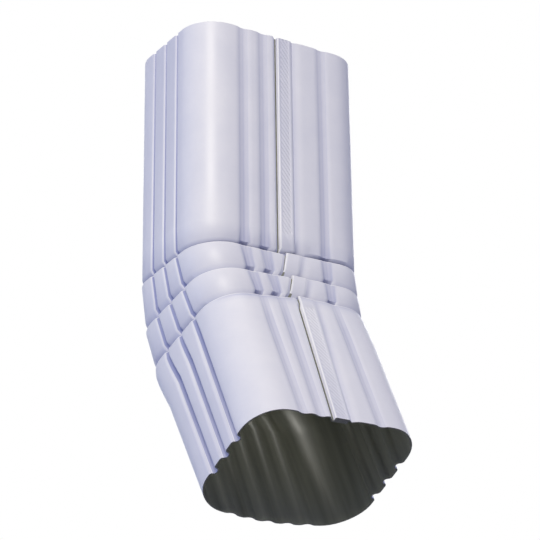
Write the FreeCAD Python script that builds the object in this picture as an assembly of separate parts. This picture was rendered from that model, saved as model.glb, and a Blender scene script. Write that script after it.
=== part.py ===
import FreeCAD, Part
import math
import os

os.makedirs("parts", exist_ok=True)
Vec = FreeCAD.Vector

# Sheet and section in millimetres; x across the wide faces, y front to back, z up
sheet = 0.5
width = 82.5
depth = 59.0
corner = 15.0
side_grooves = 3
face_grooves = 5
face_dip = 0.8
face_fill = 0.43
face_margin = 1.5
groove_gap = 0.1

# Lock seam on the front face, four plies of sheet, with a step down at its right
seam_x = 0.55
seam_width = 6.3
seam_play = 0.12
seam_gap = 0.4
seam_jog = 1.2
seam_score = 0.3
seam_pressed = 0.15
step_dip = 0.4
step_fall = 0.15
step_run = 2.4

# Straight inlet below the top rim, its side grooves shallow
inlet_run = 94.0
inlet_dip = 1.1
inlet_fill = 0.27

# Pleats in order downward: front point, slope to the back, width and depth of each lip,
# the seam's drift to the right, and the edge's height on its left side, at the left of the front,
# on the left and right of the seam, and on its right side
lip_y = [-29.9, -33.6, -38.0]
lip_z = [-100.6, -111.8, -122.1]
lip_slope = [4.6, 12.8, 18.0]
lip_width = [82.4, 80.0, 76.8]
lip_depth = [59.8, 63.0, 64.0]
lip_drift = [1.6, 2.4, 3.2]
lip_line = [(-0.5, 0.4, 0.2, 1.3, 1.6), (-1.8, -0.9, 0.1, 1.5, 0.6), (-4.0, -2.8, 0.0, 1.3, 0.2)]
lip_dip = 1.1
lip_fill = 0.28
lip_face_dip = 0.3
shoulder_at = 0.74
shoulder_under = 0.15
tuck_dip = 1.4
tuck_front_dip = 2.0
tuck_back_dip = 0.5
tuck_front = 2.2
tuck_back = 0.5
ply_gap = 0.3
lip_play = 0.2
facet_run = 1.0

# Straight outlet, drawn in towards the mouth, its back bowed there
outlet_slope = 27.0
outlet_y = -68.3
outlet_z = -181.5
outlet_run = 50.0
outlet_top_width = 78.2
outlet_top_depth = 61.0
outlet_top_dip = 2.2
outlet_top_fill = 0.34
outlet_top_drift = 2.1
outlet_width = 77.0
outlet_depth = 59.0
outlet_dip = 2.75
outlet_fill = 0.4
outlet_drift = -1.2
outlet_bow = 5.5
heel_bulge = 2.4
heel_at = 0.5

# Pieces of arc: groove shoulder and floor, and the corner
groove_bits = (1, 2)
corner_bits = 5

# Seam plies, counted inward from the outer face
seam_left = seam_x - seam_width / 2
seam_right = seam_x + seam_width / 2
ply_two = sheet + seam_play
ply_three = 2 * ply_two
ply_four = 3 * ply_two
jog_angle = math.atan2(ply_four, seam_jog - seam_gap)
jog_shift = sheet * math.tan(jog_angle / 2)
seam_foot = seam_left - seam_gap

# Plies of a pleat, counted inward from the outer face of its lip
under_return = 2 * sheet + ply_gap
under_tuck = under_return + sheet
under_lip = lip_play

level = (0, 0, 0, 0, 0)


def section(w, d, dips, fill, drift, y, z, slope, line=level, bow=0.0):
    # dips are the groove depths on the sides, the front and the back
    return {"w": w, "d": d, "dips": dips, "fill": fill, "drift": drift, "y": y, "z": z,
            "slope": slope, "line": line, "bow": bow}


def between(a, b, share):
    made = {}
    for key in a:
        if isinstance(a[key], tuple):
            made[key] = tuple(p + (q - p) * share for p, q in zip(a[key], b[key]))
        else:
            made[key] = a[key] + (b[key] - a[key]) * share
    return made


def arc_bits(cx, cy, radius, first, last, count):
    def at(angle):
        t = math.radians(angle)
        return (cx + radius * math.cos(t), cy + radius * math.sin(t))
    step = (last - first) / count
    marks = [first + step * i for i in range(count + 1)]
    return [("arc", at(a), at((a + b) / 2), at(b)) for a, b in zip(marks, marks[1:])]


def chain(points):
    return [("line", a, b) for a, b in zip(points, points[1:])]


def groove(centre, half, dip, inset):
    # A pressed groove along u, with v inward: two shoulders and a round floor, all tangent
    radius = (half * half + dip * dip) / (4 * dip)
    turn = 2 * math.degrees(math.atan2(dip, half))
    shoulder = radius - inset
    parts = arc_bits(centre - half, radius, shoulder, -90, turn - 90, groove_bits[0])
    parts += arc_bits(centre, dip - radius, radius + inset, 90 + turn, 90 - turn, groove_bits[1])
    parts += arc_bits(centre + half, radius, shoulder, -90 - turn, -90, groove_bits[0])
    return parts


def face_run(first, last, grooves, inset):
    parts = []
    at = (first, inset)
    for centre, half, dip in grooves:
        bent = groove(centre, half, dip, inset)
        parts.append(("line", at, bent[0][1]))
        parts += bent
        at = bent[-1][-1]
    parts.append(("line", at, (last, inset)))
    return parts


def carried(parts, origin, along, inward):
    def place(p):
        x = origin[0] + along[0] * p[0] + inward[0] * p[1]
        y = origin[1] + along[1] * p[0] + inward[1] * p[1]
        return (x, y)
    return [(part[0],) + tuple(place(p) for p in part[1:]) for part in parts]


def spread(count, pitch, half, dip):
    return [((i - (count - 1) / 2) * pitch, half, dip) for i in range(count)]


def run_round(s, under, inset):
    # One skin from the right of the seam, round the back, to the left of the seam
    w, d = s["w"], s["d"]
    side, front, rear = s["dips"]
    flat_x = w / 2 - corner
    flat_y = d / 2 - corner
    face_pitch = 2 * (flat_x - face_margin) / face_grooves
    face_half = face_fill * face_pitch
    side_pitch = 2 * flat_y / side_grooves
    seam_end = seam_left + s["drift"] - seam_jog
    if inset > 0:
        seam_end -= jog_shift
    step = seam_right + s["drift"]
    beside = min(-face_pitch, seam_left + s["drift"] - seam_jog - jog_shift - face_half - groove_gap)
    outer = max(2 * face_pitch, face_half - beside + face_half + groove_gap)
    right = [(max(2 * face_pitch, step + step_run + face_half + groove_gap), face_half, front)]
    left = [(-outer, face_half, front), (beside, face_half, front)]
    back = spread(face_grooves, face_pitch, face_half, rear)
    sides = spread(side_grooves, side_pitch, s["fill"] * side_pitch, side)
    dip = step_dip * front / face_dip
    r = corner - under - inset
    parts = chain([(step, inset), (step + step_fall, inset + dip), (step + step_run, inset)])
    parts += face_run(step + step_run, flat_x, right, inset)
    parts = carried(parts, (0, under), (1, 0), (0, 1))
    parts += arc_bits(flat_x, corner, r, -90, 0, corner_bits)
    parts += carried(face_run(-flat_y, flat_y, sides, inset), (w / 2 - under, d / 2), (0, 1), (-1, 0))
    parts += arc_bits(flat_x, d - corner, r, 0, 90, corner_bits)
    parts += carried(face_run(-flat_x, flat_x, back, inset), (0, d - under), (-1, 0), (0, -1))
    parts += arc_bits(-flat_x, d - corner, r, 90, 180, corner_bits)
    parts += carried(face_run(-flat_y, flat_y, sides, inset), (under - w / 2, d / 2), (0, -1), (1, 0))
    parts += arc_bits(-flat_x, corner, r, 180, 270, corner_bits)
    parts += carried(face_run(-flat_x, seam_end, left, inset), (0, under), (1, 0), (0, 1))
    return parts


def outer_ring(s, under=0.0):
    # Outer skin where the seam is pressed together, scored along the seam's open edge
    parts = run_round(s, under, 0)
    score = (seam_foot + s["drift"], under + seam_score)
    return parts + chain([parts[-1][-1], score, (seam_left + s["drift"], under), parts[0][1]])


def inner_ring(s, under, inset, pad, lean):
    # Inner skin; pad is how far the seam stands into the bore, lean the slope of its end
    parts = run_round(s, under, inset)
    low = under + inset + pad
    foot = (seam_foot + s["drift"] - jog_shift, low)
    edge = (seam_foot + s["drift"], low)
    fold = (seam_left + s["drift"], low)
    heel = (seam_right + s["drift"] - lean, low)
    return parts + chain([parts[-1][-1], foot, edge, fold, heel, parts[0][1]])


def bore_ring(s):
    return inner_ring(s, 0, sheet, ply_four, 0)


def hooks(s):
    # The slot between the sheet's two edges, each folded back and caught in the other
    points = [
        (seam_foot, ply_four),
        (seam_right - sheet, ply_four),
        (seam_right - sheet, ply_two + sheet),
        (seam_left + ply_two, ply_two + sheet),
        (seam_left + ply_two, ply_two),
        (seam_right - seam_play, ply_two),
        (seam_right - seam_play, sheet),
        (seam_left + sheet, sheet),
        (seam_left + sheet, ply_three),
        (seam_right - ply_two, ply_three),
        (seam_right - ply_two, ply_three + sheet),
        (seam_left, ply_three + sheet),
        (seam_left, 0),
    ]
    return [(x + s["drift"], v) for x, v in points]


def hooked_ring(s):
    # Outer skin where the seam is open, followed into the slot and out again
    parts = run_round(s, 0, 0)
    return parts + chain([parts[-1][-1]] + hooks(s) + [parts[0][1]])


def slot_end(s):
    # The slot's closed end, where the seam becomes pressed together
    start = run_round(s, 0, 0)[-1][-1]
    return chain([start] + hooks(s) + [(seam_foot + s["drift"], seam_score), start])


def edge_height(s, x, q):
    # An edge steps at the seam in front, and runs straight across the back
    left_side, left_front, seam_l, seam_r, right_side = s["line"]
    half = s["w"] / 2
    flat_x = half - corner
    fold = seam_left + s["drift"]
    if x < -flat_x:
        front = left_front + (left_side - left_front) * (-x - flat_x) / corner
    elif x < fold:
        front = left_front + (seam_l - left_front) * (x + flat_x) / (fold + flat_x)
    else:
        front = seam_r + (right_side - seam_r) * (x - fold) / (half - fold)
    straight = left_side + (right_side - left_side) * (x + half) / s["w"]
    away = min(1, max(0, 2 * q / s["d"] - 0.5))
    return front + (straight - front) * away


def placed(s, p):
    x, q = p
    up = edge_height(s, x, q)
    q += s["bow"] * (q / s["d"]) ** 2 * (math.cos(math.pi * x / s["w"]) - 0.5)
    c = math.cos(math.radians(s["slope"]))
    n = math.sin(math.radians(s["slope"]))
    return Vec(x, s["y"] + q * c + up * n, s["z"] - q * n + up * c)


def station(parts, s, curved=True):
    # Section edges in space, the front of the section at (y, z), falling by slope to the back
    edges = []
    for part in parts:
        points = [placed(s, p) for p in part[1:]]
        if part[0] == "arc" and curved:
            edges.append(Part.Arc(*points).toShape())
        else:
            edges.append(Part.LineSegment(points[0], points[-1]).toShape())
    return edges


def lowered(s, fall):
    # The same section, lower by a little more at the front than at the back
    tilt = s["slope"] - math.degrees(math.atan2(fall[0] - fall[1], s["d"]))
    d = s["d"] * math.cos(math.radians(s["slope"])) / math.cos(math.radians(tilt))
    return {**s, "z": s["z"] - fall[0], "slope": tilt, "d": d}


def strips(stations):
    faces = []
    for upper, lower in zip(stations, stations[1:]):
        faces += [Part.makeRuledSurface(a, b) for a, b in zip(upper, lower)]
    return faces


def flat(*loops):
    return Part.Face([Part.Wire(edges) for edges in loops])


# Straight inlet and outlet, their seams hooked
inlet_dips = (inlet_dip, face_dip, face_dip)
inlet = section(width, depth, inlet_dips, inlet_fill, 0, -depth / 2, 0, 0)
inlet_end = {**inlet, "z": -inlet_run}
rim_outer = station(hooked_ring(inlet), inlet)
rim_inner = station(bore_ring(inlet), inlet)
faces = [flat(rim_outer, rim_inner)]
faces += [edge.extrude(Vec(0, 0, -inlet_run)) for edge in rim_outer + rim_inner]
faces.append(flat(station(slot_end(inlet_end), inlet_end)))
rise = math.radians(outlet_slope)


def outlet_section(run):
    # The outlet's section at its joint with the bend, further up by run from the mouth
    dips = (outlet_top_dip, face_dip, face_dip)
    return section(outlet_top_width, outlet_top_depth, dips, outlet_top_fill, outlet_top_drift,
                   outlet_y + run * math.sin(rise), outlet_z + run * math.cos(rise), outlet_slope)


joint = outlet_section(outlet_run)
mouth_dips = (outlet_dip, face_dip, face_dip)
mouth = section(outlet_width, outlet_depth, mouth_dips, outlet_fill, outlet_drift,
                outlet_y, outlet_z, outlet_slope, level, outlet_bow)
mouth_outer = station(hooked_ring(mouth), mouth)
mouth_inner = station(bore_ring(mouth), mouth)
faces.append(flat(station(slot_end(joint), joint)))
faces += strips([station(hooked_ring(joint), joint), mouth_outer])
faces += strips([station(bore_ring(joint), joint), mouth_inner])
faces.append(flat(mouth_outer, mouth_inner))

# Pleated bend between them: each lip stands over the tucked end of the run above it
facet = {**inlet_end, "z": -inlet_run - facet_run}
outer = [station(outer_ring(inlet_end), inlet_end), station(outer_ring(facet), facet, False)]
inner = [station(bore_ring(inlet_end), inlet_end), station(bore_ring(facet), facet, False)]
lip_dips = (lip_dip, lip_face_dip, lip_face_dip)
tuck_dips = (tuck_dip, tuck_front_dip, tuck_back_dip)
above = facet
for i in range(len(lip_y)):
    lip = section(lip_width[i], lip_depth[i], lip_dips, lip_fill, lip_drift[i],
                  lip_y[i], lip_z[i], lip_slope[i], lip_line[i])
    shoulder = {**between(above, lip, shoulder_at), "drift": above["drift"]}
    neck = {**lip, "dips": tuck_dips, "drift": above["drift"]}
    tuck = lowered({**lip, "dips": tuck_dips}, (tuck_front, tuck_back))
    ledge = lowered({**lip, "dips": tuck_dips}, (tuck_front + sheet, tuck_back + sheet))
    fold = lowered(lip, (sheet, sheet))
    pressed = (seam_pressed, 2 * seam_pressed)
    outer.append(station(outer_ring(shoulder, shoulder_under), shoulder, False))
    outer.append(station(outer_ring(neck, under_tuck), neck, False))
    outer.append(station(outer_ring(tuck, under_tuck), tuck, False))
    outer.append(station(outer_ring(lip, under_return), lip, False))
    outer.append(station(outer_ring(lip), lip, False))
    inner.append(station(inner_ring(shoulder, shoulder_under, sheet, *pressed), shoulder, False))
    inner.append(station(inner_ring(neck, under_tuck, sheet, *pressed), neck, False))
    inner.append(station(inner_ring(ledge, under_tuck, sheet, *pressed), ledge, False))
    inner.append(station(inner_ring(ledge, under_return, 0, *pressed), ledge, False))
    inner.append(station(inner_ring(fold, under_lip, sheet, *pressed), fold, False))
    above = lip

# Heel: the front runs straight from the last lip to the outlet, and the back curves
heel = between(lip, joint, heel_at)
heel["d"] += heel_bulge
outer.append(station(outer_ring(heel), heel, False))
inner.append(station(inner_ring(heel, 0, sheet, *pressed), heel, False))
facet = outlet_section(outlet_run + facet_run)
outer += [station(outer_ring(facet), facet, False), station(outer_ring(joint), joint)]
inner += [station(bore_ring(facet), facet, False), station(bore_ring(joint), joint)]
faces += strips(outer) + strips(inner)

shell = Part.makeShell(faces)
shell.sewShape()
elbow = Part.makeSolid(shell)
elbow.fix(1e-4, 1e-4, 1e-4)
if elbow.Volume < 0:
    elbow.reverse()
elbow.exportStep("parts/elbow.step")
print("elbow", elbow.isValid(), elbow.ShapeType, len(elbow.Solids), len(elbow.Faces))
print("volume", round(elbow.Volume), elbow.BoundBox)
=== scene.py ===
from math import atan2, cos, degrees, floor, pi, radians, sin, tan

import bmesh
import bpy
from mathutils import Matrix, Vector


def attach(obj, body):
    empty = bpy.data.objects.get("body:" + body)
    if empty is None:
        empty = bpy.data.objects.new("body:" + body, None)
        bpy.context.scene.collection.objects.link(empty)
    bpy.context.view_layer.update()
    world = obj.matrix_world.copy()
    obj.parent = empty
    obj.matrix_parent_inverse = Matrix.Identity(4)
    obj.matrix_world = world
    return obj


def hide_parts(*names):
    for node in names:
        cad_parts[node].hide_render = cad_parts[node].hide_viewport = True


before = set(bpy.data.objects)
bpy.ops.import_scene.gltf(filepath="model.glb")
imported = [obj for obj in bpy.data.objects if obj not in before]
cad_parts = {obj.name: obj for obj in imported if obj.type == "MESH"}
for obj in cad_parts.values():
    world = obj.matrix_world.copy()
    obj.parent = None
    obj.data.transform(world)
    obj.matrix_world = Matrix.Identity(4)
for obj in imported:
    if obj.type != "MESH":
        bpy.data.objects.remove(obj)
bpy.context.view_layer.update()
print("frame loaded:", sorted(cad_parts))

metre = 0.001  # the sheet is shaped in millimetres and scaled once at the end

# section of the folded sheet: x across, q from the front face to the back
section = {
    "sheet": 0.5,
    "corner": 15.0,
    "sideGrooves": 3,
    "sideDip": 2.75,
    "faceGrooves": 5,
    "faceDip": 0.8,
    "faceMargin": 1.5,
    "faceFill": 0.43,  # half a groove's width as a share of the pitch
    "roundShare": 0.97,  # keeps the rounds of neighbouring corners apart
    "cornerSegments": 12,
    "grooveSegments": 4,
    "sharpAngle": 50.0,
}

# lock seam on the front face, four plies of sheet
seam = {
    "left": -2.6,
    "right": 3.7,
    "play": 0.12,
    "gap": 0.55,
    "jog": 2.3,  # the left panel dives under the seam over this width
    "room": 0.3,
    "foldRound": 0.45,
    "jogRound": 0.3,
    "stepDip": 1.0,
    "stepFall": 1.5,
    "stepRun": 4.6,
    "stepMost": 1.2,
    "stepSoft": 1 / 3,
    "pressedPad": 0.6,
    "pressedSlot": 0.5,
    "segments": 3,
}

# slanted teeth rolled into the seam's outer ply
knurl = {
    "leftMargin": 0.9,
    "rightMargin": 0.45,
    "edge": 0.2,
    "pitch": 2.4,
    "slant": 1.3,
    "height": 0.42,
    "across": 10,
    "along": 0.3,
    "even": 0.97,
    "slack": 0.25,
}

# stations down the sheet: front is the (y, z) of the section's front, grooves are shares of the full
# depth on the sides, front and back, line is the height of the edge from its left side to its right,
# shift moves the seam to the right, and sway brings it back towards the foot of a pleat
inlet = {
    "width": 82.5,
    "depth": 59.0,
    "front": (-29.5, 0.0),
    "slope": 0.0,
    "grooves": (0.36, 1, 1),
    "sideFill": 0.17,
    "line": (0, 0, 0, 0, 0),
    "shift": 0.0,
    "sway": 0.0,
    "bow": 0.0,
}
inletRun = 91.0
pleats = [
    {"front": (-29.9, -100.6), "slope": 4.6, "width": 82.4, "depth": 59.8,
     "line": (-0.5, 0.4, 0.2, 1.3, 1.6), "shift": 2.9, "sway": 3.6},
    {"front": (-33.6, -111.8), "slope": 12.8, "width": 80.0, "depth": 63.0,
     "line": (-1.8, -0.9, 0.1, 1.5, 0.6), "shift": 3.3, "sway": 3.8},
    {"front": (-38.0, -122.1), "slope": 18.0, "width": 76.8, "depth": 64.0,
     "line": (-4.0, -2.8, 0.0, 1.3, 0.2), "shift": 3.2},
]
pleatFold = {
    "gap": 0.3,
    "play": 0.2,
    "shoulderAt": 0.8,
    "shoulderUnder": 0.15,
    "neckUnder": 2.3,
    "slotOpened": 0.5,
    "heelShare": 0.7,
    "front": 2.2,
    "back": 0.5,
    "steps": 4,
    "shoulder": (0.36, 1.3, 0.9),
    "neck": (0.4, 3.5, 0.7),
    "tuck": (0.4, 2.6, 0.7),
    "lip": (0.36, 0.38, 0.4),
    "sideFill": 0.19,
}
outlet = {
    "width": 77.0,
    "depth": 59.0,
    "front": (-68.3, -181.5),
    "slope": 27.0,
    "grooves": (0.9, 1, 1),
    "sideFill": 0.31,
    "line": (0, 0, 0, 0, 0),
    "shift": -1.2,
    "bow": 5.5,
}
joint = {
    "run": 50.0,
    "width": 78.2,
    "depth": 61.0,
    "grooves": (0.75, 1, 1),
    "sideFill": 0.27,
    "shift": 2.1,
}
heel = {
    "steps": 6,
    "bulge": 1.5,
    "early": 0.5,  # under 1, the bulge is fullest in the upper half
    "pressed": 1,  # first stations where the plies of the seam are still pressed flat
}

# an edge keeps its front line to the first of these shares of the depth, and is straight past the run
edgeTurn = {"start": 0.25, "run": 0.5}
bowLevel = 0.5  # a bowed back stands out in its middle and draws in at its corners

deep = -1  # stands for the segments of a corner inside the seam's slot, which stays sharp
sheet = section["sheet"]
plyTwo = sheet + seam["play"]
plyThree = 2 * plyTwo
plyFour = 3 * plyTwo
jogShift = sheet * tan(atan2(plyFour, seam["jog"] - seam["gap"]) / 2)
foldThick = 2 * sheet + pleatFold["gap"]
pressed = {"press": seam["pressedSlot"], "pad": seam["pressedPad"], "lean": 2 * seam["pressedPad"]}
coats = {"paint": 0, "back": 1, "cut": 2}  # places of the elbow's materials


def mix(a, b, share):
    return a + (b - a) * share


def between(upper, lower, share):
    # a station part way down from one to the next
    made = {}
    for key in ("width", "depth", "slope", "shift", "bow", "sideFill"):
        made[key] = mix(upper[key], lower[key], share)
    for key in ("front", "line", "grooves"):
        made[key] = tuple(mix(a, b, share) for a, b in zip(upper[key], lower[key]))
    return made


def outletFront(run):
    rise = radians(outlet["slope"])
    return (outlet["front"][0] + run * sin(rise), outlet["front"][1] + run * cos(rise))


def grooveCorners(centre, half, dip, inset):
    # a pressed groove as four corners, each with the tangent length that rounds it
    tangent = (half * half + dip * dip) / (4 * half)
    lean = inset * dip / half
    return [
        (centre - half + tangent - lean, inset, tangent - lean),
        (centre - tangent - lean, dip + inset, tangent + lean),
        (centre + tangent + lean, dip + inset, tangent + lean),
        (centre + half - tangent + lean, inset, tangent - lean),
    ]


def faceCorners(grooves, inset, origin, along, inward):
    corners = []
    for centre, half, dip in grooves:
        for u, v, tangent in grooveCorners(centre, half, dip, inset):
            x = origin[0] + along[0] * u + inward[0] * v
            q = origin[1] + along[1] * u + inward[1] * v
            corners.append((x, q, section["roundShare"] * tangent, section["grooveSegments"]))
    return corners


def spread(count, pitch, half, dip):
    return [((i - (count - 1) / 2) * pitch, half, dip) for i in range(count)]


def skinCorners(ring, under, inset):
    # one skin from the right of the seam, round the back, to the left of the seam
    width, depth, shift = ring["width"], ring["depth"], ring["shift"]
    sideShare, frontShare, backShare = ring["grooves"]
    flatX = width / 2 - section["corner"]
    flatQ = depth / 2 - section["corner"]
    facePitch = 2 * (flatX - section["faceMargin"]) / section["faceGrooves"]
    sidePitch = 2 * flatQ / section["sideGrooves"]
    faceHalf = section["faceFill"] * facePitch
    sideHalf = ring["sideFill"] * sidePitch
    frontDip = section["faceDip"] * frontShare
    stepDip = min(seam["stepDip"] * frontShare, seam["stepMost"])
    clear = seam["left"] + shift - seam["jog"] - ring.get("opened", 0) - seam["room"]
    beside = min(-facePitch, clear - faceHalf)
    outside = min(-2 * facePitch, beside - 2 * faceHalf - seam["room"])
    left = [(outside, faceHalf, frontDip), (beside, faceHalf, frontDip)]
    right = [(2 * facePitch, faceHalf, frontDip)]
    back = spread(section["faceGrooves"], facePitch, faceHalf, section["faceDip"] * backShare)
    sides = spread(section["sideGrooves"], sidePitch, sideHalf, section["sideDip"] * sideShare)
    wall = under + inset
    turn = (section["corner"] - wall, section["cornerSegments"])
    step = seam["right"] + shift
    corners = [(step, wall, 0, 0)]
    corners.append((step + seam["stepFall"], wall + stepDip, 0, 0))
    corners.append((step + seam["stepRun"], wall, seam["stepRun"] * seam["stepSoft"], seam["segments"]))
    corners += faceCorners(right, inset, (0, under), (1, 0), (0, 1))
    corners.append((width / 2 - wall, wall, *turn))
    corners += faceCorners(sides, inset, (width / 2 - under, depth / 2), (0, 1), (-1, 0))
    corners.append((width / 2 - wall, depth - wall, *turn))
    corners += faceCorners(back, inset, (0, depth - under), (-1, 0), (0, -1))
    corners.append((wall - width / 2, depth - wall, *turn))
    corners += faceCorners(sides, inset, (under - width / 2, depth / 2), (0, -1), (1, 0))
    corners.append((wall - width / 2, wall, *turn))
    corners += faceCorners(left, inset, (0, under), (1, 0), (0, 1))
    return corners


def closedAtHeel(ring, inset):
    # the plies of a pleat lie closer together towards the heel
    proud = skinCorners(ring, ring.get("under", 0), inset)
    flush = skinCorners(ring, 0, inset)
    corners = []
    for (x, q, tangent, segments), (x0, q0, tangent0, _) in zip(proud, flush):
        back = min(1, max(0, q0 / ring["depth"]))
        share = (1 - pleatFold["heelShare"]) * back * back * (3 - 2 * back)
        place = (mix(x, x0, share), mix(q, q0, share))
        corners.append((*place, mix(tangent, tangent0, share), segments))
    return corners


def seamSlot(ring):
    # the slot between the two edges, each folded back and caught in the other
    under, press, opened = ring.get("under", 0), ring.get("press", 1), ring.get("opened", 0)
    left = seam["left"] + ring["shift"]
    right = seam["right"] + ring["shift"]
    rounding = seam["segments"]
    hooks = [
        (left - seam["gap"] - opened, plyFour),
        (right - sheet, plyFour),
        (right - sheet, plyTwo + sheet),
        (left + plyTwo, plyTwo + sheet),
        (left + plyTwo, plyTwo),
        (right - seam["play"], plyTwo),
        (right - seam["play"], sheet),
        (left + sheet, sheet),
        (left + sheet, plyThree),
        (right - plyTwo, plyThree),
        (right - plyTwo, plyThree + sheet),
        (left, plyThree + sheet),
    ]
    corners = [(left - seam["jog"] - opened, under, seam["jogRound"] * press, rounding)]
    corners += [(x, under + v * press, 0, deep) for x, v in hooks]
    corners.append((left, under, seam["foldRound"] * press, rounding))
    corners.append((left + knurl["leftMargin"], under, 0, 0))
    corners.append((right - knurl["rightMargin"], under, 0, 0))
    return corners


def seamPad(ring, inset):
    # inside, the plies stand into the bore
    under, opened, lean = ring.get("under", 0), ring.get("opened", 0), ring.get("lean", 0)
    low = under + inset + ring.get("pad", plyFour)
    left = seam["left"] + ring["shift"] - jogShift - opened
    return [
        (left - seam["jog"], under + inset, 0, 0),
        (left - seam["gap"], low, 0, 0),
        (seam["right"] + ring["shift"] - lean, low, 0, 0),
    ]


def edgeHeight(ring, x, q):
    # an edge steps at the seam in front, and runs straight across the back
    side, flat = ring["width"] / 2, ring["width"] / 2 - section["corner"]
    leftSide, leftFront, seamLeft, seamRight, rightSide = ring["line"]
    fold = seam["left"] + ring["shift"]
    if x < -flat:
        front = mix(leftFront, leftSide, (-x - flat) / section["corner"])
    elif x < fold:
        front = mix(leftFront, seamLeft, (x + flat) / (fold + flat))
    else:
        front = mix(seamRight, rightSide, (x - fold) / (side - fold))
    straight = mix(leftSide, rightSide, (x + side) / (2 * side))
    turned = (q / ring["depth"] - edgeTurn["start"]) / edgeTurn["run"]
    return mix(front, straight, min(1, max(0, turned)))


def stationPlace(ring):
    return Matrix.Translation((0, *ring["front"])) @ Matrix.Rotation(-radians(ring["slope"]), 4, "X")


def makeRing(bm, ring, corners):
    # a section: few corners, rounded by a vertex bevel, then set at its station
    verts = [bm.verts.new((x, q, 0)) for x, q, _, _ in corners]
    for vert, corner in zip(verts, corners):
        vert[bm.verts.layers.int["slot"]] = int(corner[3] == deep)
    bm.faces.new(verts)
    rounds = {}
    for vert, (_, _, tangent, segments) in zip(verts, corners):
        if tangent > 0:
            rounds.setdefault((round(tangent, 4), segments), []).append(vert)
    for (tangent, segments), group in rounds.items():
        bmesh.ops.bevel(bm, geom=group, offset=tangent, offset_type="OFFSET", segments=segments,
                        profile=0.5, affect="VERTICES", material=-1)
    face = bm.faces[:][0]
    ringVerts = list(face.verts)
    ringEdges = list(face.edges)
    bmesh.ops.delete(bm, geom=[face], context="FACES_ONLY")
    for vert in ringVerts:
        x, q, _ = vert.co
        bowed = ring["bow"] * (q / ring["depth"]) ** 2 * (cos(pi * x / ring["width"]) - bowLevel)
        vert.co = (x, q + bowed, edgeHeight(ring, x, q))
    bmesh.ops.transform(bm, matrix=stationPlace(ring), verts=ringVerts)
    return ringEdges


def lowered(ring, drop):
    # the same section, lower by a little more at the front than at the back
    tilt = ring["slope"] - degrees(atan2(drop[0] - drop[1], ring["depth"]))
    depth = ring["depth"] * cos(radians(ring["slope"])) / cos(radians(tilt))
    y, z = ring["front"]
    return {**ring, "front": (y, z - drop[0]), "slope": tilt, "depth": depth}


def pleatRings(upper, lip):
    # the run above narrows to its tucked end, and the round fold of the lip stands over it
    shoulder = {
        **between(upper, lip, pleatFold["shoulderAt"]),
        "grooves": pleatFold["shoulder"],
        "under": pleatFold["shoulderUnder"],
        "shift": upper["shift"] - upper["sway"] * pleatFold["shoulderAt"],
    }
    if upper["slope"] > 0:
        shoulder.update(pressed)
    neck = {
        **lip,
        **pressed,
        "grooves": pleatFold["neck"],
        "under": pleatFold["neckUnder"],
        "shift": upper["shift"] - upper["sway"],
        "opened": pleatFold["slotOpened"],
    }
    tuck = {**lip, **pressed, "grooves": pleatFold["tuck"], "under": foldThick + sheet}
    outer = [shoulder, neck, lowered(tuck, (pleatFold["front"], pleatFold["back"]))]
    y, z = lip["front"]
    half = foldThick / 2
    for i in range(pleatFold["steps"] + 1):
        a = pi * i / pleatFold["steps"]
        front = (y, z - half * (1 - sin(a)))
        outer.append({**lip, **pressed, "under": half * (1 + cos(a)), "front": front})
    ledge = (pleatFold["front"] + sheet, pleatFold["back"] + sheet)
    inner = [
        (shoulder, sheet),
        (neck, sheet),
        (lowered(tuck, ledge), sheet),
        (lowered({**tuck, "under": foldThick}, ledge), 0),
        (lowered({**lip, **pressed, "under": pleatFold["play"]}, (sheet, sheet)), sheet),
    ]
    return outer, inner


def heelRings(lip, bend):
    # from the last lip to the straight outlet the front runs straight and the heel curves
    rings = []
    for i in range(1, heel["steps"]):
        share = i / heel["steps"]
        made = between(lip, bend, share)
        made["depth"] += heel["bulge"] * sin(pi * share ** heel["early"])
        if i <= heel["pressed"]:
            made.update(pressed)
        rings.append(made)
    return rings


def sheetRings():
    # every station of the outer skin, and of the inner skin with its inset, top rim to mouth, and
    # the two ends of each run that is knurled
    foot = {**inlet, "front": (inlet["front"][0], -inletRun)}
    outer = [inlet, foot]
    inner = [(inlet, sheet), (foot, sheet)]
    upper = foot
    for pleat in pleats:
        lip = {**pleat, "grooves": pleatFold["lip"], "sideFill": pleatFold["sideFill"], "bow": 0.0}
        outerPleat, innerPleat = pleatRings(upper, lip)
        outer += outerPleat
        inner += innerPleat
        upper = lip
    bend = {**outlet, **joint, "front": outletFront(joint["run"]), "bow": 0.0}
    tail = heelRings(upper, bend) + [bend, outlet]
    knurled = [(inlet, foot), (tail[heel["pressed"]], outlet)]
    return outer + tail, inner + [(ring, sheet) for ring in tail], knurled


def skin(bm, rings, material):
    for upper, lower in zip(rings, rings[1:]):
        for face in bmesh.ops.bridge_loops(bm, edges=upper + lower)["faces"]:
            face.material_index = material


def rim(bm, outer, inner):
    for face in bmesh.ops.triangle_fill(bm, use_beauty=True, edges=outer + inner)["geom"]:
        if isinstance(face, bmesh.types.BMFace):
            face.material_index = coats["cut"]


def onPatch(vert, patch):
    away = vert.co - patch["top"]
    run = away.dot(patch["down"])
    across = away.x - run * patch["lean"]
    slack = knurl["slack"]
    if not -slack < run < patch["length"] + slack:
        return False
    return -slack < across < patch["width"] + slack and abs(away.dot(patch["inward"])) < slack


def patchEdges(bm, patch, lengthwise):
    # edges on the flat outer ply of the seam, along it or across it
    found = []
    for edge in bm.edges:
        if all(onPatch(vert, patch) for vert in edge.verts):
            step = edge.verts[1].co - edge.verts[0].co
            if (abs(step.x) < abs(step.dot(patch["down"]))) == lengthwise:
                found.append(edge)
    return found


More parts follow.
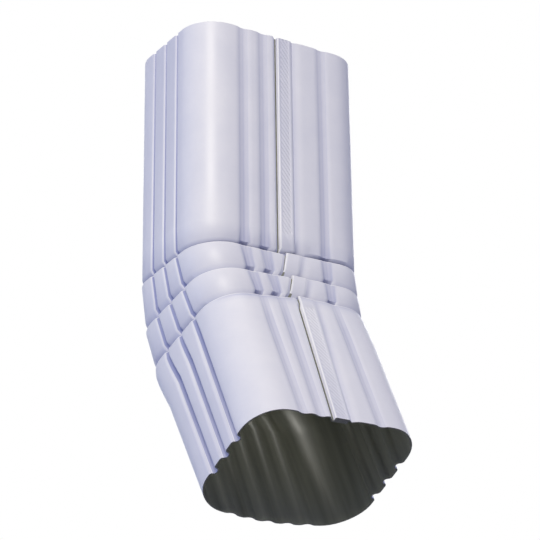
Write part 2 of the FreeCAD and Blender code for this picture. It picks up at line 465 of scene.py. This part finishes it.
def rollKnurl(bm, upper, lower):
    # slanted teeth on the seam's outer ply between two stations of one straight front
    ends = []
    for ring in (upper, lower):
        x = seam["left"] + knurl["leftMargin"] + ring["shift"]
        ends.append(stationPlace(ring) @ Vector((x, 0, edgeHeight(ring, x, 0))))
    top = ends[0]
    drop = ends[1] - top
    drop.x = 0
    down = drop.normalized()
    patch = {
        "top": top,
        "down": down,
        "inward": Vector((1, 0, 0)).cross(down),
        "width": seam["right"] - seam["left"] - knurl["leftMargin"] - knurl["rightMargin"],
        "length": drop.length,
        "lean": (lower["shift"] - upper["shift"]) / drop.length,
    }
    crossing = patchEdges(bm, patch, False)
    bmesh.ops.subdivide_edges(bm, edges=crossing, cuts=knurl["across"], use_grid_fill=True)
    while True:
        runs = [edge for edge in patchEdges(bm, patch, True) if edge.calc_length() > 2 * knurl["along"]]
        if not runs:
            break
        longest = max(edge.calc_length() for edge in runs)
        runs = [edge for edge in runs if edge.calc_length() > knurl["even"] * longest]
        bmesh.ops.subdivide_edges(bm, edges=runs, cuts=int(longest / knurl["along"]), use_grid_fill=True)
    for vert in bm.verts:
        if onPatch(vert, patch):
            away = vert.co - patch["top"]
            run = away.dot(patch["down"])
            across = away.x - run * patch["lean"]
            edge = min(across, patch["width"] - across, run, patch["length"] - run)
            if edge > knurl["edge"]:
                phase = (run - across * knurl["slant"]) / knurl["pitch"]
                tooth = abs(2 * (phase - floor(phase)) - 1)
                vert.co += patch["inward"] * knurl["height"] * tooth


def shadeSeamSlot(bm):
    # painted shade: the faces inside the seam's slot take the dark back coat, standing in for the shadow
    # deep in the slot
    layer = bm.verts.layers.int["slot"]
    for face in bm.faces:
        if face.material_index == coats["paint"] and all(vert[layer] for vert in face.verts):
            face.material_index = coats["back"]


# bends are half the curvature, in 1/mm: concave bends get the full painted shade at full, and convex
# crests get painted highlight from start
paintedShade = {"full": 0.34, "least": 0.01, "soften": 2, "blend": 0.5, "shadeColour": (0.38, 0.41, 0.64)}
paintedHighlight = {"start": 0.35, "full": 0.75, "most": 0.75, "pale": (0.97, 0.97, 0.98)}


def markFolds(bm):
    # how concave and how convex the sheet is at each point, for the painted shade in its grooves and
    # pockets and the painted highlight along its sharp crests
    for name in ("paintedShade", "paintedHighlight"):
        bm.verts.layers.float.new(name)
    shadeLayer = bm.verts.layers.float["paintedShade"]
    highlightLayer = bm.verts.layers.float["paintedHighlight"]
    for vert in bm.verts:
        bends = [0]
        for edge in vert.link_edges:
            if any(face.material_index != coats["cut"] for face in edge.link_faces):
                away = edge.other_vert(vert).co - vert.co
                bends.append(away.dot(vert.normal) / max(away.length_squared, paintedShade["least"]))
        vert[shadeLayer] = min(1, max(bends) / paintedShade["full"])
        proud = (-min(bends) - paintedHighlight["start"]) / (paintedHighlight["full"] - paintedHighlight["start"])
        vert[highlightLayer] = paintedHighlight["most"] * min(1, max(0, proud))
    for _ in range(paintedShade["soften"]):
        softer = []
        for vert in bm.verts:
            near = [edge.other_vert(vert)[shadeLayer] for edge in vert.link_edges]
            softer.append(mix(vert[shadeLayer], sum(near) / len(near), paintedShade["blend"]))
        for vert, value in zip(bm.verts, softer):
            vert[shadeLayer] = value


def makeElbow():
    bm = bmesh.new()
    bm.verts.layers.int.new("slot")
    outerPlan, innerPlan, knurled = sheetRings()
    outer = []
    for ring in outerPlan:
        outer.append(makeRing(bm, ring, closedAtHeel(ring, 0) + seamSlot(ring)))
    inner = []
    for ring, inset in innerPlan:
        inner.append(makeRing(bm, ring, closedAtHeel(ring, inset) + seamPad(ring, inset)))
    print("rings:", len(outer), "of", len(outer[0]), "and", len(inner), "of", len(inner[0]))
    skin(bm, outer, coats["paint"])
    # painted shade in the seam's slot, drawn with the dark back coat
    shadeSeamSlot(bm)
    skin(bm, inner, coats["back"])
    rim(bm, outer[0], inner[0])
    rim(bm, outer[-1], inner[-1])
    bmesh.ops.recalc_face_normals(bm, faces=bm.faces[:])
    bm.normal_update()
    markFolds(bm)
    for upper, lower in knurled:
        rollKnurl(bm, upper, lower)
    bmesh.ops.recalc_face_normals(bm, faces=bm.faces[:])
    for face in bm.faces:
        face.smooth = True
    loose = [edge for edge in bm.edges if not edge.is_manifold]
    print("faces", len(bm.faces), "open edges", len(loose), "volume", round(bm.calc_volume(signed=True)))
    bmesh.ops.scale(bm, vec=(metre,) * 3, verts=bm.verts[:])
    mesh = bpy.data.meshes.new("elbowSheet")
    bm.to_mesh(mesh)
    bm.free()
    mesh.set_sharp_from_angle(angle=radians(section["sharpAngle"]))
    piece = bpy.data.objects.new("elbowSheet", mesh)
    bpy.context.scene.collection.objects.link(piece)
    return piece


# finishes: satin baked paint outside, a dark back coat inside, the sheet's cut edge
paint = {
    "pale": (0.82, 0.815, 0.865),
    "shade": (0.765, 0.765, 0.83),
    "roughness": (0.34, 0.46),
    "specular": 0.3,
    "patches": 55.0,
    "stretch": 1.0,
    "turn": 0.0,
    "peel": 900.0,
    "peelDepth": 0.00004,
    "folds": True,
}
coat = {
    "pale": (0.32, 0.325, 0.25),
    "shade": (0.18, 0.185, 0.14),
    "roughness": (0.28, 0.42),
    "specular": 0.5,
    "patches": 190.0,
    "stretch": 0.02,
    "turn": -outlet["slope"],
    "peel": 700.0,
    "peelDepth": 0.00004,
    "folds": False,
}
cut = {
    "pale": (0.12, 0.12, 0.11),
    "shade": (0.05, 0.05, 0.046),
    "roughness": (0.35, 0.55),
    "specular": 0.5,
    "patches": 900.0,
    "stretch": 1.0,
    "turn": 0.0,
    "peel": 800.0,
    "peelDepth": 0.00002,
    "folds": False,
}
grainPlan = {"detail": 6, "roughness": 0.62, "low": 0.3, "high": 0.7, "fineDetail": 2, "bump": 0.5}


def makeMottle():
    # soft uneven patches from 0 to 1, and the fine skin of a baked finish
    group = bpy.data.node_groups.new("mottle", "ShaderNodeTree")
    face = group.interface
    face.new_socket("Vector", in_out="INPUT", socket_type="NodeSocketVector")
    face.new_socket("Patches", in_out="INPUT", socket_type="NodeSocketFloat")
    face.new_socket("Peel", in_out="INPUT", socket_type="NodeSocketFloat")
    face.new_socket("Mask", in_out="OUTPUT", socket_type="NodeSocketFloat")
    face.new_socket("Skin", in_out="OUTPUT", socket_type="NodeSocketFloat")
    nodes, links = group.nodes, group.links
    given = nodes.new("NodeGroupInput")
    result = nodes.new("NodeGroupOutput")
    broad = nodes.new("ShaderNodeTexNoise")
    broad.inputs["Detail"].default_value = grainPlan["detail"]
    broad.inputs["Roughness"].default_value = grainPlan["roughness"]
    spreadOut = nodes.new("ShaderNodeMapRange")
    spreadOut.inputs["From Min"].default_value = grainPlan["low"]
    spreadOut.inputs["From Max"].default_value = grainPlan["high"]
    fine = nodes.new("ShaderNodeTexNoise")
    fine.inputs["Detail"].default_value = grainPlan["fineDetail"]
    links.new(given.outputs["Vector"], broad.inputs["Vector"])
    links.new(given.outputs["Patches"], broad.inputs["Scale"])
    links.new(broad.outputs["Fac"], spreadOut.inputs["Value"])
    links.new(spreadOut.outputs["Result"], result.inputs["Mask"])
    links.new(given.outputs["Vector"], fine.inputs["Vector"])
    links.new(given.outputs["Peel"], fine.inputs["Scale"])
    links.new(fine.outputs["Fac"], result.inputs["Skin"])
    return group


mottle = makeMottle()


def paintFoldShadeAndHighlight(nodes, links, colour):
    # painted shade darkens the sheet where it curves in, and a painted highlight pales it along its
    # sharp crests
    shadeAmount = nodes.new("ShaderNodeAttribute")
    shadeAmount.attribute_name = "paintedShade"
    shadeColour = nodes.new("ShaderNodeMix")
    shadeColour.data_type = "RGBA"
    shadeColour.blend_type = "MULTIPLY"
    shadeColour.inputs["B"].default_value = (*paintedShade["shadeColour"], 1)
    links.new(shadeAmount.outputs["Fac"], shadeColour.inputs["Factor"])
    links.new(colour.outputs["Result"], shadeColour.inputs["A"])
    proud = nodes.new("ShaderNodeAttribute")
    proud.attribute_name = "paintedHighlight"
    highlighted = nodes.new("ShaderNodeMix")
    highlighted.data_type = "RGBA"
    highlighted.inputs["B"].default_value = (*paintedHighlight["pale"], 1)
    links.new(proud.outputs["Fac"], highlighted.inputs["Factor"])
    links.new(shadeColour.outputs["Result"], highlighted.inputs["A"])
    return highlighted


def finish(name, plan):
    # one finish from its plan: colour and gloss drift with the patches, the skin is bump
    material = bpy.data.materials.new(name)
    material.use_nodes = True
    nodes, links = material.node_tree.nodes, material.node_tree.links
    shader = nodes["Principled BSDF"]
    shader.inputs["Specular IOR Level"].default_value = plan["specular"]
    where = nodes.new("ShaderNodeTexCoord")
    mapping = nodes.new("ShaderNodeMapping")
    mapping.vector_type = "TEXTURE"
    mapping.inputs["Rotation"].default_value = (radians(plan["turn"]), 0, 0)
    mapping.inputs["Scale"].default_value = (1, 1, 1 / plan["stretch"])
    grain = nodes.new("ShaderNodeGroup")
    grain.node_tree = mottle
    grain.inputs["Patches"].default_value = plan["patches"]
    grain.inputs["Peel"].default_value = plan["peel"]
    colour = nodes.new("ShaderNodeMix")
    colour.data_type = "RGBA"
    colour.inputs["A"].default_value = (*plan["shade"], 1)
    colour.inputs["B"].default_value = (*plan["pale"], 1)
    gloss = nodes.new("ShaderNodeMapRange")
    gloss.inputs["To Min"].default_value = plan["roughness"][0]
    gloss.inputs["To Max"].default_value = plan["roughness"][1]
    bump = nodes.new("ShaderNodeBump")
    bump.inputs["Distance"].default_value = plan["peelDepth"]
    bump.inputs["Strength"].default_value = grainPlan["bump"]
    links.new(where.outputs["Object"], mapping.inputs["Vector"])
    links.new(mapping.outputs["Vector"], grain.inputs["Vector"])
    links.new(grain.outputs["Mask"], colour.inputs["Factor"])
    # only the white paint gets the painted shade and highlight of its folds
    last = paintFoldShadeAndHighlight(nodes, links, colour) if plan["folds"] else colour
    links.new(last.outputs["Result"], shader.inputs["Base Color"])
    links.new(grain.outputs["Mask"], gloss.inputs["Value"])
    links.new(gloss.outputs["Result"], shader.inputs["Roughness"])
    links.new(grain.outputs["Skin"], bump.inputs["Height"])
    links.new(bump.outputs["Normal"], shader.inputs["Normal"])
    return material


elbow = makeElbow()
elbow.data.materials.append(finish("whitePaint", paint))
elbow.data.materials.append(finish("backCoat", coat))
elbow.data.materials.append(finish("cutEdge", cut))
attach(elbow, "root")
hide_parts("elbow")
print("elbow made")

# plain pale floor well below, as the elbow hangs from its pipe
floorPlan = {"level": -0.65, "size": 8.0}
floorFinish = {
    "pale": (0.87, 0.87, 0.875),
    "shade": (0.83, 0.83, 0.84),
    "roughness": (0.75, 0.85),
    "specular": 0.3,
    "patches": 6.0,
    "stretch": 1.0,
    "turn": 0.0,
    "peel": 800.0,
    "peelDepth": 0.00002,
    "folds": False,
}
floorMesh = bpy.data.meshes.new("floor")
bm = bmesh.new()
bmesh.ops.create_grid(bm, x_segments=1, y_segments=1, size=floorPlan["size"])
bmesh.ops.translate(bm, vec=(0, 0, floorPlan["level"]), verts=bm.verts[:])
bm.to_mesh(floorMesh)
bm.free()
floorPiece = bpy.data.objects.new("floor", floorMesh)
bpy.context.scene.collection.objects.link(floorPiece)
floorMesh.materials.append(finish("paleFloor", floorFinish))
print("floor laid")


def outFrom(azimuth, elevation):
    # the direction out from the elbow: azimuth 0 is in front, and left is negative
    a, e = radians(azimuth), radians(elevation)
    return Vector((sin(a) * cos(e), -cos(a) * cos(e), sin(e)))


# camera where the photograph was taken: low, in front and to the left
view = {
    "azimuth": -32.412,
    "elevation": -21.762,
    "roll": -0.7417,
    "aim": (0, 0, -0.06),
    "slide": (-0.009537, 0.034396),
    "distance": 0.82023,
    "lens": 126.667,
    "near": 0.01,
}
back = outFrom(view["azimuth"], view["elevation"])
right = Vector((cos(radians(view["azimuth"])), sin(radians(view["azimuth"])), 0))
turn = Matrix((right, back.cross(right), back)).transposed()
turn = turn @ Matrix.Rotation(radians(view["roll"]), 3, "Z")
camera = bpy.data.objects.new("camera", bpy.data.cameras.new("camera"))
bpy.context.scene.collection.objects.link(camera)
camera.data.lens = view["lens"]
camera.data.clip_start = view["near"]
local = Vector((*view["slide"], -view["distance"]))
camera.matrix_world = Matrix.Translation(Vector(view["aim"]) - turn @ local) @ turn.to_4x4()
bpy.context.scene.camera = camera

# white surroundings for what the camera and gloss see, a dim bluish fill for the rest
surround = {"fill": (0.2, 0.28, 0.85), "strength": 0.3}
world = bpy.data.worlds.new("studio")
bpy.context.scene.world = world
world.use_nodes = True
nodes, links = world.node_tree.nodes, world.node_tree.links
nodes.clear()
path = nodes.new("ShaderNodeLightPath")
fill = nodes.new("ShaderNodeBackground")
fill.inputs["Color"].default_value = (*surround["fill"], 1)
fill.inputs["Strength"].default_value = surround["strength"]
white = nodes.new("ShaderNodeBackground")
white.inputs["Color"].default_value = (1, 1, 1, 1)
seen = nodes.new("ShaderNodeMath")
seen.operation = "MAXIMUM"
seenAll = nodes.new("ShaderNodeMath")
seenAll.operation = "MAXIMUM"
links.new(path.outputs["Is Camera Ray"], seen.inputs[0])
links.new(path.outputs["Is Glossy Ray"], seen.inputs[1])
links.new(seen.outputs[0], seenAll.inputs[0])
links.new(path.outputs["Is Transmission Ray"], seenAll.inputs[1])
choose = nodes.new("ShaderNodeMixShader")
links.new(seenAll.outputs[0], choose.inputs[0])
links.new(fill.outputs[0], choose.inputs[1])
links.new(white.outputs[0], choose.inputs[2])
out = nodes.new("ShaderNodeOutputWorld")
links.new(choose.outputs[0], out.inputs["Surface"])

# lamps round the elbow, aimed at its middle; the top one shines down the open pipe
lampAim = (0, 0, -0.1)
lamps = {
    "key": {"azimuth": -37, "elevation": 25, "distance": 1.5, "size": 0.55,
            "power": 16.3, "color": (1, 0.95, 0.78)},
    "side": {"azimuth": -118, "elevation": 8, "distance": 1.5, "size": 0.9,
             "power": 3.4, "color": (0.5, 0.66, 1)},
    "mouth": {"azimuth": -30, "elevation": -42, "distance": 0.7, "size": 0.14,
              "power": 0.06, "color": (1, 0.99, 0.95)},
    "top": {"azimuth": 0, "elevation": 87, "distance": 0.55, "size": 0.12,
            "power": 0.55, "color": (1, 0.98, 0.9)},
    "rear": {"azimuth": 142, "elevation": 22, "distance": 1.6, "size": 0.9,
             "power": 7, "color": (0.97, 0.98, 1)},
}


def hangLamp(name, plan):
    away = outFrom(plan["azimuth"], plan["elevation"])
    light = bpy.data.lights.new(name, "AREA")
    light.shape = "DISK"
    light.size = plan["size"]
    light.energy = plan["power"]
    light.color = plan["color"]
    lamp = bpy.data.objects.new(name, light)
    bpy.context.scene.collection.objects.link(lamp)
    lamp.location = Vector(lampAim) + away * plan["distance"]
    lamp.rotation_euler = away.to_track_quat("Z", "Y").to_euler()


for name, plan in lamps.items():
    hangLamp(name, plan)

bpy.context.scene.view_settings.view_transform = "Standard"
print("light and camera set")
